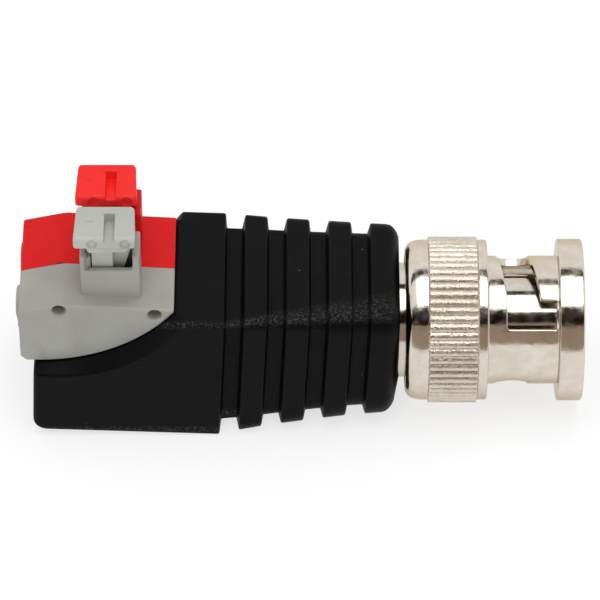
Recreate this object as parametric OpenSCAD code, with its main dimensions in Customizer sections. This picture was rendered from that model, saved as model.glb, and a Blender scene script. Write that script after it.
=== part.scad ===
// Bayonet coaxial plug with a two-pole push-button spring terminal in a ribbed shell.
// +X points out of the plug, +Z up through the buttons, in millimetres.
// The origin is on the plug's axis at the open front face of the coupling nut.

/* [Coupling nut] */
// Length of the coupling nut
nut_len = 15.4; // [14.8:0.1:17]
// Bore that goes over the mating socket
nut_bore_d = 9.9; // [9.8:0.05:10.1]
// Diameter over the knurl teeth
knurl_d = 14.5; // [14.2:0.1:16]
// Length of the knurled grip
knurl_w = 4.35; // [3:0.05:5]
// Number of knurl teeth
knurl_teeth = 60; // [40:2:72]
// Depth of a knurl tooth
knurl_depth = 0.28; // [0.15:0.01:0.4]
// Diameter of the front flange
flange_d = 14.15; // [13.6:0.05:15]
// Thickness of the front flange
flange_w = 2.15; // [1.6:0.05:2.6]
// Wall of the neck that holds the cam slots
neck_wall = 0.65; // [0.55:0.01:0.85]
// Diameter of the plain bands beside the knurl
band_d = 14; // [13.8:0.05:14.2]
// Width of the plain band in front of the knurl
front_band_w = 0.8; // [0.5:0.05:1.2]
// Width of the plain band behind the knurl
rear_band_w = 1.95; // [1.7:0.05:2.4]
// Rounding of the rear outer edge
nut_rear_round = 0.8; // [0.3:0.05:1]
// Width of a cam slot
cam_w = 2.66; // [2.4:0.02:2.8]
// Width of the entry through the flange
entry_w = 2.55; // [2.3:0.05:2.7]
// Sweep from the middle of the entry to the detent, in degrees
cam_sweep = 90; // [80:1:100]
// Travel along the axis that the cam gives over its sweep
cam_rise = 1.35; // [1:0.05:1.6]
// Depth of the detent at the end of the cam
detent_step = 0.3; // [0.1:0.05:0.5]
// Distance from the front face to the middle of the slot at the entry
cam_start = 4.85; // [4.7:0.05:5.2]
// Turn of the slots about the axis, in degrees
cam_turn = 131; // [0:1:180]

/* [Plug core] */
// Diameter of the collar inside the nut
collar_d = 11.8; // [11.4:0.05:12]
// Thickness of the collar
collar_w = 3; // [2.6:0.05:3.1]
// Diameter of the boss that the gasket sits on
boss_d = 9.5; // [9.2:0.05:9.7]
// Length of that boss
boss_w = 0.85; // [0.5:0.05:1.2]
// Diameter of the tail behind the nut
tail_d = 10; // [9.6:0.05:10.3]
// Diameter of the anchor moulded into the shell
anchor_d = 7.4; // [7:0.1:8.4]
// Length of the anchor
anchor_w = 6.2; // [4:0.1:8]
// Depth of the groove that locks the anchor
anchor_groove = 0.45; // [0.2:0.05:0.6]
// Outer diameter of the slotted contact sleeve
sleeve_d = 8; // [7.9:0.02:8.06]
// Wall of the contact sleeve
sleeve_wall = 0.7; // [0.5:0.05:0.85]
// Distance of the sleeve's tip behind the nut's front face
sleeve_recess = 2; // [1.5:0.05:2.6]
// Turn of the sleeve's slots about the axis, in degrees
sleeve_turn = 67; // [0:1:90]
// Number of slots in the contact sleeve
sleeve_slots = 4; // [2:1:8]
// Width of a sleeve slot
sleeve_slot_w = 0.5; // [0.3:0.05:0.8]
// Diameter of the centre pin
pin_d = 1.35; // [1.32:0.01:1.38]
// Distance of the pin's tip behind the nut's front face
pin_recess = 2.4; // [2.2:0.05:3.2]
// Diameter of the pin's rear barrel
barrel_d = 1.9; // [1.7:0.05:2.2]
// Bore of the insulator's cup
cup_d = 4.9; // [4.83:0.01:5.2]
// Distance of the cup's floor behind the nut's front face
cup_floor = 8.9; // [8.6:0.05:9.2]
// Distance of the insulator's rim behind the nut's front face
insulator_recess = 2.9; // [2.5:0.05:3.4]
// Thickness of the gasket
gasket_w = 1.2; // [0.8:0.05:1.5]
// Number of waves in the wave washer
wave_count = 3; // [2:1:4]
// Thickness of the wave washer's strip
wave_t = 0.25; // [0.15:0.05:0.3]
// Thickness of the thrust washer
thrust_w = 0.4; // [0.3:0.05:0.5]
// Thickness of the retaining ring
ring_t = 0.7; // [0.5:0.05:0.8]
// Depth of the retaining ring's groove in the nut
ring_groove = 0.45; // [0.3:0.05:0.5]

/* [Shell] */
// Width of the shell's box
box_w = 14.2; // [14:0.1:15.5]
// Height of the box's top above the axis
box_top = 6.3; // [6.2:0.05:6.8]
// Depth of the box's bottom below the axis
box_bottom = 7.3; // [7:0.05:8]
// Length of the box
box_len = 16.45; // [16:0.05:18]
// Width of the shell at its front end
end_w = 13; // [12.6:0.1:13.6]
// Height of the front end's top above the axis
end_top = 6.15; // [6:0.05:6.3]
// Depth of the front end's bottom below the axis
end_bottom = 6.55; // [6.3:0.05:6.9]
// Corner radius of the box
box_corner = 0.45; // [0.3:0.05:1]
// Corner radius at the front end
end_corner = 3.4; // [2.6:0.1:4]
// Number of ribs between the box and the end ring
rib_count = 3; // [2:1:4]
// Width of a rib
rib_w = 2.35; // [2:0.05:2.5]
// Width of a groove
groove_w = 1.3; // [1.1:0.05:1.6]
// Depth of the groove beside the box
groove_rear = 1; // [0.7:0.05:1.1]
// Depth of the groove beside the end ring
groove_front = 0.7; // [0.5:0.05:0.9]
// Width of the end ring
end_ring_w = 2.95; // [2.6:0.05:3.6]
// Lean of the box and ribs, in degrees
lean = 2.5; // [0:0.5:4]
// Gap between the shell and the coupling nut
shell_gap = 0.55; // [0.4:0.05:1.2]
// Rounding of the box's rear bottom edge
heel_round = 1.3; // [0.8:0.1:1.6]

/* [Terminal] */
// Width of one terminal module
module_w = 5.2; // [5:0.05:5.6]
// Thickness of the end plate
end_plate_w = 1.2; // [0.9:0.05:1.4]
// Length of the terminal block
block_len = 13.35; // [13:0.05:14]
// Overhang of the block behind the shell
block_overhang = 1.1; // [0.8:0.05:2]
// Height of the block's crease above the axis
crease_top = 7.55; // [7.45:0.05:7.8]
// Height of the block's front end above the axis
block_front_top = 6.9; // [6.85:0.05:7.1]
// Height of the block's rear edge above the axis
block_rear_top = 6.62; // [6.4:0.01:7]
// Height of the block's underside above the axis
block_floor = 0.8; // [0.6:0.05:1]
// Radius of the block's curved belly
belly_r = 14.6; // [14:0.1:15.2]
// Radius of the shell's side rim along the saddle
rim_r = 11; // [10.5:0.1:11.4]
// Diameter of a wire entry
wire_d = 2.6; // [2.2:0.05:2.8]
// Diameter of the funnel at a wire entry's mouth
funnel_d = 3.2; // [2.9:0.05:3.4]
// Thickness of the lip round a wire entry
lip_t = 0.4; // [0.2:0.05:0.6]
// Height of the wire entries above the axis
wire_z = 4.2; // [4:0.05:4.4]
// Diameter of the locating holes in the block's side
peg_hole_d = 1.17; // [0.9:0.01:1.3]

/* [Buttons] */
// Length of the guide frame on top of a module
frame_len = 5.1; // [4.8:0.05:5.4]
// Width of the guide frame
frame_w = 3.2; // [3:0.05:3.4]
// Height of the frame's end walls above the axis
frame_high = 12.05; // [11.5:0.05:12.6]
// Height of the frame's side walls above the axis
frame_low = 10.35; // [9.8:0.05:10.9]
// Thickness of the frame's walls
frame_wall = 0.46; // [0.35:0.01:0.6]
// Length of a button's pad
pad_len = 5.04; // [4.6:0.02:5.4]
// Width of a button's pad
pad_w = 3.9; // [3.4:0.05:4.3]
// Thickness of a button's pad
pad_t = 1.2; // [0.9:0.05:1.4]
// Rounding of a pad's front top edge
pad_round = 0.4; // [0.2:0.05:0.6]
// Clearance left between a pressed pad and the frame's end walls
pad_stop = 0.3; // [0.2:0.05:1]
// Width of the groove in a pad
pad_groove_w = 0.9; // [0.6:0.05:1.1]
// Depth of the groove in a pad
pad_groove_d = 0.45; // [0.3:0.05:0.6]
// Thickness of a button's neck
neck_t = 1.8; // [1.5:0.05:2]
// Travel of a button
button_travel = 1.5; // [1:0.1:1.7]
// Gap between a button's foot and the leaf below it
foot_gap = 0.08; // [0.05:0.01:0.2]

/* [Contacts] */
// Thickness of the contact strip
bar_t = 0.5; // [0.4:0.05:0.6]
// Thickness of the spring strip
leaf_t = 0.25; // [0.2:0.01:0.3]
// Width of the spring strip
leaf_w = 2.2; // [1.8:0.05:2.4]
// Diameter of the inner leads
lead_d = 1; // [0.6:0.05:1.05]

/* [Fits] */
// Radial clearance of pieces that turn or slide in each other
run_gap = 0.05; // [0.02:0.01:0.09]
// Radial clearance of pieces that are fitted and stay put
fit_gap = 0.02; // [0.01:0.01:0.04]
// Clearance between plastic pieces that seat on each other
seat_gap = 0.1; // [0.05:0.01:0.15]

/* [Hidden] */
$fn = 96;
over = 0.5;

// Places along the plug
neck_d = nut_bore_d + 2 * neck_wall;
collar_front = cup_floor + boss_w - 0.3;
collar_rear = collar_front + collar_w;
chamber_d = collar_d + 2 * run_gap;
shoulder_x = collar_front - run_gap;
ring_rear = nut_len - 0.75;
ring_front = ring_rear - ring_t;
thrust_rear = ring_front - run_gap;
thrust_front = thrust_rear - thrust_w;
shell_front = nut_len + shell_gap;
tail_bite = 1.25;
tail_rear = shell_front + tail_bite;
anchor_rear = tail_rear + anchor_w;
sleeve_rear = collar_front + 2;
sleeve_bore = sleeve_d - 2 * sleeve_wall;
sleeve_root_d = sleeve_d + 0.4;
sleeve_step = collar_front - boss_w - gasket_w - 0.1;
pin_root_d = pin_d + 0.4;
insulator_rear = tail_rear - 0.5;

// Places along the shell, counted back from the nut's front face
box_front = shell_front + end_ring_w + rib_count * rib_w + (rib_count + 1) * groove_w;
box_rear = box_front + box_len;

// Places on the terminal block
block_rear = box_rear + block_overhang;
block_front = block_rear - block_len;
block_w = 2 * module_w + end_plate_w;
grey_y0 = -block_w / 2;
red_y0 = grey_y0 + module_w;
end_y0 = red_y0 + module_w;
crease_x = block_rear - 3.75;
belly_x = block_rear - 1.7;
rim_x = block_rear - 3.7;
rim_low = 0.2;
button_x = block_rear - 7.3;
button_off = 2.95;
cheek = 1.2;
far_cheek = 0.85;
cavity_rear = block_rear - 2.3;
cavity_front = block_front + 2.9;
cavity_floor = block_floor + 0.9;
bar_low = wire_z + wire_d / 2;
cavity_top = bar_low + bar_t + 2 * fit_gap;

function mix(a, b, t) = a + (b - a) * t;
function round_drop(r, t) = r * (1 - sqrt(max(0, 1 - t * t)));

// A cylinder along X from the distance a to the distance b behind the nut's front face
module bar_x(d, a, b) {
    translate([-b, 0, 0])
        rotate([0, 90, 0])
            cylinder(d = d, h = b - a);
}

// A turned ring along X, from a profile of [distance behind the front face, radius]
module turned(profile) {
    rotate([0, -90, 0])
        rotate_extrude()
            polygon([for (p = profile) [p[1], p[0]]]);
}

// A straight-sided piece with its profile in X and Z, from y0 to y1
module slab_y(y0, y1) {
    translate([0, y1, 0])
        rotate([90, 0, 0])
            linear_extrude(height = y1 - y0)
                children();
}

// A lofted solid through rings of equally many points, from low X to high X
module loft(rings) {
    n = len(rings[0]);
    m = len(rings);
    points = [for (r = rings) for (p = r) p];
    sides = [
        for (i = [0 : m - 2])
            for (j = [0 : n - 1])
                let (a = i * n + j, b = i * n + (j + 1) % n)
                    for (f = [[a, a + n, b + n], [a, b + n, b]]) f
    ];
    rear = [[for (j = [0 : n - 1]) j]];
    front = [[for (j = [n - 1 : -1 : 0]) (m - 1) * n + j]];
    polyhedron(points = points, faces = concat(sides, rear, front));
}

// Share of the way from the box to the front end, which the shell's sides and top follow, and its underside
function run(d) = max(0, (box_front - d) / (box_front - shell_front));
function taper(d) = pow(min(1, run(d)), top_bend);
function under(d) = pow(min(1, under_gain * run(d)), under_bend);

top_bend = 0.72;
under_gain = 1.35;
under_bend = 0.85;

corner_steps = 6;

// One rounded-square ring of the shell at distance d, drawn in by inset, with its bottom raised
function shell_ring(d, inset = 0, raised = 0) =
    let (
        t = taper(d),
        w = mix(box_w, end_w, t) / 2 - inset,
        top = mix(box_top, end_top, t) - inset + max(0, d - box_front) * tan(lean),
        low = -mix(box_bottom, end_bottom, under(d)) + inset + raised + max(0, d - box_front) * tan(lean),
        r = max(0.25, mix(box_corner, end_corner, t) - inset)
    )
    [
        for (c = [0 : 3])
            for (k = [0 : corner_steps])
                let (
                    a = 90 * (c + k / corner_steps),
                    y = (c == 0 || c == 3 ? w - r : r - w) + r * cos(a),
                    z = (c < 2 ? top - r : low + r) + r * sin(a)
                )
                [-d + z * tan(lean), y, z]
    ];

edge = 0.18;
draft = 0.12;
function groove_depth(d) = mix(groove_rear, groove_front, (box_front - d) / (box_front - shell_front));
function rib_rear(i) = box_front - groove_w - i * (rib_w + groove_w);

// Rings of one rib, from its rear flank at distance d to its front flank
function rib_rings(d, w) = [
    shell_ring(d, groove_depth(d)),
    shell_ring(d - draft, edge),
    shell_ring(d - draft - edge),
    shell_ring(d - w + draft + edge),
    shell_ring(d - w + draft, edge),
    shell_ring(d - w, groove_depth(d - w))
];

heel_steps = 5;
nose_steps = 6;
nose_len = 1.25;
nose_drop = 1.9;

module shell_outside() {
    heel = [
        for (k = [0 : heel_steps])
            let (t = 1 - k / heel_steps)
                shell_ring(box_rear - heel_round * (1 - t), round_drop(0.4, max(0, 3 * t - 2)),
                    round_drop(heel_round, t))
    ];
    box_end = [
        shell_ring(box_front + draft + edge),
        shell_ring(box_front + draft, edge),
        shell_ring(box_front, groove_depth(box_front))
    ];
    ribs = [for (i = [0 : rib_count - 1]) for (r = rib_rings(rib_rear(i), rib_w)) r];
    ring_start = rib_rear(rib_count);
    ring = [
        shell_ring(ring_start, groove_depth(ring_start)),
        shell_ring(ring_start - draft, edge),
        shell_ring(ring_start - draft - edge)
    ];
    nose = [
        for (k = [0 : nose_steps])
            let (t = sin(90 * k / nose_steps))
                shell_ring(shell_front + nose_len * (1 - t), round_drop(nose_drop, t))
    ];
    loft(concat(heel, box_end, ribs, ring, nose));
}

// Height of the block's belly and of the shell's side rim at distance d
function belly(d) = d > belly_x ? block_floor
    : block_floor + belly_r - sqrt(belly_r * belly_r - (belly_x - d) * (belly_x - d));
function rim(d) = rim_low + rim_r - sqrt(rim_r * rim_r - (rim_x - d) * (rim_x - d));

saddle_steps = 18;
saddle_run = 0.65;

// The space above the saddle: under the block inside, falling to the rim outside
module saddle_space() {
    inner = block_w / 2 + seat_gap;
    wall = box_w / 2;
    out = wall + 1;
    loft([
        for (k = [0 : saddle_steps])
            let (
                d = mix(block_rear + over, block_front - saddle_run, k / saddle_steps),
                z_in = belly(d) - seat_gap,
                z_out = z_in + (min(rim(min(d, box_rear)), z_in) - z_in) * (out - inner) / (wall - inner)
            )
            [
                [-d, inner, z_in], [-d, out, z_out], [-d, out, pad_top],
                [-d, -out, pad_top], [-d, -out, z_out], [-d, -inner, z_in]
            ]
    ]);
}

well_rear = block_rear - 3.9;
well_front = block_front + 1.6;
well_w = block_w - 1.6;
well_floor = -4.6;
duct_w = 7.8;
duct_h = 3.2;

module shell() {
    color("#1c1c1c")
        difference() {
            shell_outside();
            saddle_space();
            translate([-well_rear, -well_w / 2, well_floor])
                cube([well_rear - well_front, well_w, pad_top]);
            translate([-well_front - over, -duct_w / 2, -duct_h / 2])
                cube([well_front + over - anchor_rear, duct_w, duct_h]);
            bar_x(tail_d + 2 * fit_gap, shell_front - over, tail_rear);
            bar_x(anchor_d + 2 * fit_gap, shell_front, anchor_rear);
        }
}

// Side view of the terminal block, with its belly an arc
module block_profile() {
    intersection() {
        polygon([
            [-block_rear, block_floor + 0.5], [-block_rear + 0.5, block_floor],
            [-block_front, block_floor], [-block_front, block_front_top],
            [-crease_x, crease_top], [-block_rear, block_rear_top]
        ]);
        union() {
            translate([-belly_x, block_floor + belly_r])
                circle(r = belly_r);
            translate([-block_rear - over, block_floor])
                square([block_rear - belly_x + over, pad_top]);
        }
    }
}

// Side view of the cavity that holds the button's foot, the leaf and the bar
module cavity_profile() {
    polygon([
        [-cavity_rear, cavity_floor], [-cavity_front - 1.6, cavity_floor],
        [-cavity_front, cavity_floor + 1.6], [-cavity_front, cavity_top], [-cavity_rear, cavity_top]
    ]);
}

pad_top = frame_high + button_travel + pad_stop + pad_t;
frame_x0 = -button_x - frame_len / 2 + 0.65;
frame_off = button_off - frame_w / 2;

frame_post = frame_wall + 0.15;
frame_fillet = 0.4;

// Side view of the guide frame: two end walls over two lower side walls
module frame_profile() {
    difference() {
        translate([frame_x0, cavity_top])
            square([frame_len, frame_high - cavity_top]);
        translate([frame_x0 + frame_len / 2, frame_high])
            rounded_rect(frame_len - 2 * frame_post, 2 * (frame_high - frame_low), frame_fillet);
    }
}

module guide_frame(y0) {
    difference() {
        slab_y(y0 + frame_off, y0 + frame_off + frame_w)
            frame_profile();
        window(y0);
    }
}

module window(y0) {
    translate([frame_x0 + frame_wall, y0 + frame_off + frame_wall, cavity_top - over])
        cube([frame_len - 2 * frame_wall - 0.15, frame_w - 2 * frame_wall, pad_top]);
}

// Holes of a module: the cavity, the button's window, the wire entry and the contact's slot
module module_holes(y0) {
    slab_y(y0 + cheek, y0 + module_w - far_cheek)
        cavity_profile();
    window(y0);
    translate([-block_rear - lip_t, y0 + button_off, wire_z])
        rotate([0, 90, 0]) {
            cylinder(d = wire_d, h = block_rear + lip_t - cavity_rear + over);
            cylinder(d1 = funnel_d, d2 = wire_d, h = funnel_len);
        }
    translate([-tang_x - tang_t / 2 - fit_gap, y0 + button_off - tang_w / 2 - fit_gap, -over])
        cube([tang_t + 2 * fit_gap, tang_w + 2 * fit_gap, cavity_floor + 2 * over]);
}

funnel_len = 0.7;
lip_high = 3.9;
lip_wide = 3.3;
lip_up = 0.35;

// The flat oval lip round a wire entry
module wire_lip(y0) {
    translate([-block_rear - lip_t, y0 + button_off, wire_z + lip_up])
        rotate([0, 90, 0])
            linear_extrude(height = lip_t + over)
                rounded_rect(lip_high, lip_wide, 1.6);
}

peg_x = [crease_x + 0.25, block_front + 1.65];
peg_z = [crease_top - 0.72, block_front_top - 0.6];
peg_deep = 3;

module terminal(y0) {
    difference() {
        union() {
            slab_y(y0, y0 + module_w)
                block_profile();
            guide_frame(y0);
            children();
        }
        module_holes(y0);
        for (i = [0, 1])
            translate([-peg_x[i], y0 - over, peg_z[i]])
                rotate([-90, 0, 0])
                    cylinder(d = peg_hole_d, h = peg_deep + over);
    }
}

module terminal_grey() {
    color("#b9b9b3")
        terminal(grey_y0)
            wire_lip(grey_y0);
}

module terminal_red() {
    color("#de2828")
        terminal(red_y0);
}

module end_plate() {
    color("#de2828")
        slab_y(end_y0, end_y0 + end_plate_w)
            block_profile();
}

// A flat rectangle with round corners
module rounded_rect(l, w, r) {
    translate([-l / 2 + r, -w / 2])
        square([l - 2 * r, w]);
    translate([-l / 2, -w / 2 + r])
        square([l, w - 2 * r]);
    for (x = [-1, 1])
        for (y = [-1, 1])
            translate([x * (l / 2 - r), y * (w / 2 - r)])
                circle(r = r);
}

// Places of the contact's tang and of the leaf spring behind it
tang_x = cavity_front + 0.65;
tang_t = 0.6;
tang_w = 1;
tang_low = -1.4;
leaf_r = 0.75;
leaf_base = cavity_floor + fit_gap;
leaf_bend = -tang_x - tang_t / 2 - 0.15 - leaf_r;
leaf_turn = 114;
leaf_from = [leaf_bend + leaf_r * cos(leaf_turn), leaf_base + leaf_r + leaf_r * sin(leaf_turn)];
leaf_tip = [-cavity_rear + 1.5, bar_low - fit_gap];

// Height of the blade's top above the axis at a place along X
function blade_z(x) = mix(leaf_from[1], leaf_tip[1], (x - leaf_from[0]) / (leaf_tip[0] - leaf_from[0]));

pad_y = -0.5;
pad_x = 0.3;
pad_groove_x = 0.4;
brace_gap = 0.1;
neck_w = frame_w - 2 * frame_wall - 0.4;
foot_side = 0.15;
foot_rear = 1.9;
foot_front = 1.2;
foot_z = blade_z(-button_x - foot_rear) + foot_gap;

// Side view of the neck and of the foot that presses the leaf
module neck_profile() {
    translate([-neck_t / 2, foot_z])
        square([neck_t, pad_top - pad_t - foot_z]);
}

module foot_profile() {
    polygon([
        [-foot_rear, foot_z], [0.2, foot_z - 0.4], [foot_front, foot_z],
        [foot_front, cavity_top - fit_gap], [-foot_rear, cavity_top - fit_gap]
    ]);
}

// The brace under the pad, thinner than the neck and cut off on a slant towards the plug
module web_profile() {
    front = frame_x0 + button_x + frame_len - frame_post - brace_gap;
    rear = frame_x0 + button_x + frame_wall + brace_gap;
    polygon([
        [rear, pad_top - pad_t], [front, pad_top - pad_t], [front, frame_high],
        [front - 0.8, frame_low - 1.3], [0, frame_low - 2.2], [rear + 0.5, frame_low - 1],
        [rear, frame_low - 0.5]
    ]);
}

// The pad's section across its groove, with its front top edge rounded
module pad_side() {
    translate([-pad_w / 2, 0])
        square([pad_w, pad_t - pad_round]);
    translate([pad_round - pad_w / 2, 0])
        square([pad_w - pad_round, pad_t]);
    translate([pad_round - pad_w / 2, pad_t - pad_round])
        circle(r = pad_round);
}

// The pad, from the middle of its underside
module pad() {
    intersection() {
        linear_extrude(height = pad_t)
            rounded_rect(pad_len, pad_w, 0.45);
        translate([-pad_len / 2, 0, 0])
            rotate([90, 0, 90])
                linear_extrude(height = pad_len)
                    pad_side();
    }
}

// The stiffening lip under the pad, which drops between the frame's end walls
module lip_profile() {
    polygon([
        [-lip_rear, over], [lip_front, over], [lip_front, 0], [lip_front - 0.2, -lip_drop],
        [0.3 - lip_rear, -lip_drop], [-lip_rear, 0]
    ]);
}

module button(y0) {
    y = y0 + button_off;
    translate([-button_x, 0, 0]) {
        slab_y(y - neck_w / 2, y + neck_w / 2)
            neck_profile();
        slab_y(y0 + cheek + foot_side, y0 + module_w - far_cheek - foot_side)
            foot_profile();
        slab_y(y - neck_w / 2 + 0.6, y + neck_w / 2)
            web_profile();
        translate([pad_x, y + pad_y, pad_top - pad_t]) {
            difference() {
                pad();
                translate([pad_groove_x - pad_groove_w / 2, -pad_w / 2 - over, pad_t - pad_groove_d])
                    cube([pad_groove_w, pad_w - groove_stop + over, pad_groove_d + over]);
                for (x = [-dimple_x, dimple_x])
                    translate([pad_groove_x + x, -pad_w / 2 - over, pad_t - dimple_low])
                        rotate([-90, 0, 0])
                            cylinder(d = dimple_d, h = over + dimple_t);
            }
            slab_y(lip_inset - pad_w / 2, pad_w / 2 - lip_far)
                lip_profile();
        }
    }
}

groove_stop = 0.85;
dimple_x = 1.3;
dimple_d = 0.9;
dimple_t = 0.12;
dimple_low = 0.65;
lip_inset = 0.1;
lip_far = 0.75;
lip_rear = 1.7;
lip_front = 2.1;
lip_drop = 0.7;

module button_grey() {
    color("#b9b9b3")
        button(grey_y0);
}

module button_red() {
    color("#f03430")
        button(red_y0);
}

// Outline of a strip of thickness t to the left of a path of points
function left_of(a, b, t) = let (v = b - a, n = norm(v)) [-v[1], v[0]] * t / n;
function strip(path, t) = concat(
    path,
    [
        for (i = [len(path) - 1 : -1 : 0])
            let (
                u = i == 0 ? left_of(path[0], path[1], t) : left_of(path[i - 1], path[i], t),
                v = i == len(path) - 1 ? u : left_of(path[i], path[i + 1], t),
                s = u + v
            )
            path[i] + s * 2 * t * t / (s * s)
    ]
);

// The leaf: a leg on the floor, a round bend at the front and a blade that rises to the bar
function leaf_path() = concat(
    [[-cavity_rear + 2.4, leaf_base]],
    [
        for (k = [0 : 8])
            let (a = mix(-90, leaf_turn, k / 8))
                [leaf_bend + leaf_r * cos(a), leaf_base + leaf_r + leaf_r * sin(a)]
    ],
    [leaf_tip]
);

module clamp_spring(y0) {
    color("#c9c9c6")
        slab_y(y0 + button_off - leaf_w / 2, y0 + button_off + leaf_w / 2)
            polygon(strip(leaf_path(), leaf_t));
}

module clamp_spring_grey() {
    clamp_spring(grey_y0);
}

module clamp_spring_red() {
    clamp_spring(red_y0);
}

side_t = 0.3;
bar_top = bar_low + bar_t;

// The contact: a pad under the roof at the rear, a side strip down the cheek and a tang through the floor
module contact_bar(y0) {
    y = y0 + button_off;
    side = y0 + cheek + fit_gap;
    color("#d8c9a0") {
        translate([-cavity_rear + fit_gap, side, bar_top - bar_t])
            cube([2.2, y + leaf_w / 2 - side, bar_t]);
        translate([-cavity_rear + fit_gap, side, cavity_floor + fit_gap])
            cube([2.2, side_t, bar_top - cavity_floor - fit_gap]);
        translate([-cavity_rear + fit_gap, side, cavity_floor + fit_gap])
            cube([cavity_rear - tang_x + tang_t / 2 - fit_gap, side_t, 1]);
        translate([-tang_x - tang_t / 2, side, cavity_floor + fit_gap])
            cube([tang_t, y + tang_w / 2 - side, 0.4]);
        translate([-tang_x - tang_t / 2, y - tang_w / 2, tang_low])
            cube([tang_t, tang_w, cavity_floor + fit_gap + 0.4 - tang_low]);
    }
}

module contact_bar_grey() {
    contact_bar(grey_y0);
}

module contact_bar_red() {
    contact_bar(red_y0);
}

lead_sides = 10;

// A lead as a tube through points of falling X, with a level ring at each
module lead(points, d) {
    ring = [
        for (k = [0 : lead_sides - 1])
            let (a = 360 * k / lead_sides)
                [0, cos(a), sin(a)] * d / 2
    ];
    loft([for (i = [len(points) - 1 : -1 : 0]) [for (p = ring) points[i] + p]]);
}

// Points that ease from the run at a to the run at b
lead_steps = 8;
function eased(a, b) = [
    for (k = [0 : lead_steps])
        let (t = k / lead_steps, e = (1 - cos(180 * t)) / 2)
            [mix(a[0], b[0], t), mix(a[1], b[1], e), mix(a[2], b[2], e)]
];

cup_depth = 1.8;
barrel_rear = insulator_rear + 1.7;
lead_z = -0.6;
ground_y = -2.6;

lead_end = -tang_x + tang_t / 2;

module lead_centre() {
    color("#b5763a")
        lead(concat(
            [[-barrel_rear + cup_depth - 0.1, 0, 0]],
            eased([-anchor_rear, 0, 0], [lead_end + 1, red_y0 + button_off, lead_z]),
            [[lead_end, red_y0 + button_off, lead_z]]
        ), lead_d);
}

module lead_ground() {
    color("#b5763a")
        lead(concat(
            [[-anchor_rear, ground_y, 0]],
            eased([-anchor_rear - 1, ground_y, 0], [lead_end + 1, grey_y0 + button_off, lead_z]),
            [[lead_end, grey_y0 + button_off, lead_z]]
        ), lead_d);
}

module plug_body() {
    color("#c8bfae")
        difference() {
            union() {
                bar_x(boss_d, collar_front - boss_w, collar_front);
                bar_x(collar_d, collar_front, collar_rear);
                bar_x(tail_d, collar_rear, tail_rear);
                turned([
                    [tail_rear, 0], [tail_rear, anchor_d / 2], [tail_rear + 1.6, anchor_d / 2],
                    [tail_rear + 1.6, anchor_d / 2 - anchor_groove],
                    [anchor_rear - 1.6, anchor_d / 2 - anchor_groove],
                    [anchor_rear - 1.6, anchor_d / 2], [anchor_rear, anchor_d / 2], [anchor_rear, 0]
                ]);
            }
            bar_x(sleeve_root_d + 2 * fit_gap, 0, sleeve_rear);
            bar_x(sleeve_bore, 0, insulator_rear);
            bar_x(barrel_d + 1.2, 0, anchor_rear + over);
        }
}

module contact_sleeve() {
    r = sleeve_d / 2;
    lip = 0.3;
    color("#cfc6b4")
        difference() {
            turned([
                [sleeve_recess, sleeve_bore / 2 + lip], [sleeve_recess, r - lip],
                [sleeve_recess + lip, r], [sleeve_step, r], [sleeve_step, sleeve_root_d / 2],
                [sleeve_rear, sleeve_root_d / 2], [sleeve_rear, sleeve_bore / 2],
                [sleeve_recess + lip, sleeve_bore / 2]
            ]);
            for (i = [0 : sleeve_slots - 1])
                rotate([sleeve_turn + 360 * i / sleeve_slots, 0, 0])
                    translate([-sleeve_step + 0.4, -sleeve_slot_w / 2, 0])
                        cube([sleeve_step, sleeve_slot_w, sleeve_d]);
        }
}

module insulator() {
    r = sleeve_bore / 2 - fit_gap;
    color("#f1efe8")
        difference() {
            bar_x(2 * r, insulator_recess, insulator_rear);
            bar_x(cup_d, 0, cup_floor);
            bar_x(pin_root_d + 2 * fit_gap, 0, insulator_rear);
            bar_x(barrel_d + 2 * fit_gap, cup_floor + 3, insulator_rear + over);
        }
}

module centre_pin() {
    r = pin_d / 2;
    tip = 0.5;
    color("#d4af5a")
        difference() {
            union() {
                bar_x(pin_d, pin_recess + tip, cup_floor);
                bar_x(pin_root_d, cup_floor, cup_floor + 3);
                turned(concat(
                    [[pin_recess + tip, 0]],
                    [
                        for (k = [0 : 8])
                            let (a = 90 * k / 8)
                                [pin_recess + tip * (1 - sin(a)), r * (0.35 + 0.65 * cos(a))]
                    ],
                    [[pin_recess, 0]]
                ));
                bar_x(barrel_d, cup_floor + 3, barrel_rear);
            }
            bar_x(lead_d + 2 * run_gap, barrel_rear - cup_depth, barrel_rear + over);
        }
}

module gasket() {
    rear = collar_front - boss_w;
    color("#b8402f")
        difference() {
            bar_x(boss_d, rear - gasket_w, rear);
            bar_x(sleeve_root_d + 2 * run_gap, 0, rear + over);
        }
}

wave_out = tail_d / 2 + 0.85;
wave_in = tail_d / 2 + 0.12;
wave_steps = 60;
wave_h = thrust_front - collar_rear - 2 * fit_gap;

// Height of the wave at an angle
function wave_at(a) = (wave_h - wave_t) / 2 * (1 + cos(wave_count * a));

// A spring washer whose ring rises and falls around its circle
module wave_washer() {
    start = collar_rear + fit_gap;
    points = [
        for (i = [0 : wave_steps - 1])
            let (a = 360 * i / wave_steps, x = -start - wave_at(a))
                for (p = [[wave_in, 0], [wave_out, 0], [wave_out, -wave_t], [wave_in, -wave_t]])
                    [x + p[1], p[0] * cos(a), p[0] * sin(a)]
    ];
    faces = [
        for (i = [0 : wave_steps - 1])
            for (j = [0 : 3])
                let (
                    a = 4 * i + j,
                    b = 4 * i + (j + 1) % 4,
                    c = 4 * ((i + 1) % wave_steps) + j,
                    d = 4 * ((i + 1) % wave_steps) + (j + 1) % 4
                )
                for (f = [[a, c, d], [a, d, b]]) f
    ];
    color("#b9b4a8")
        polyhedron(points = points, faces = faces);
}

module thrust_washer() {
    color("#c8bfae")
        difference() {
            bar_x(chamber_d - 2 * run_gap, thrust_front, thrust_rear);
            bar_x(tail_d + 2 * run_gap, thrust_front - over, thrust_rear + over);
        }
}

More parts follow.
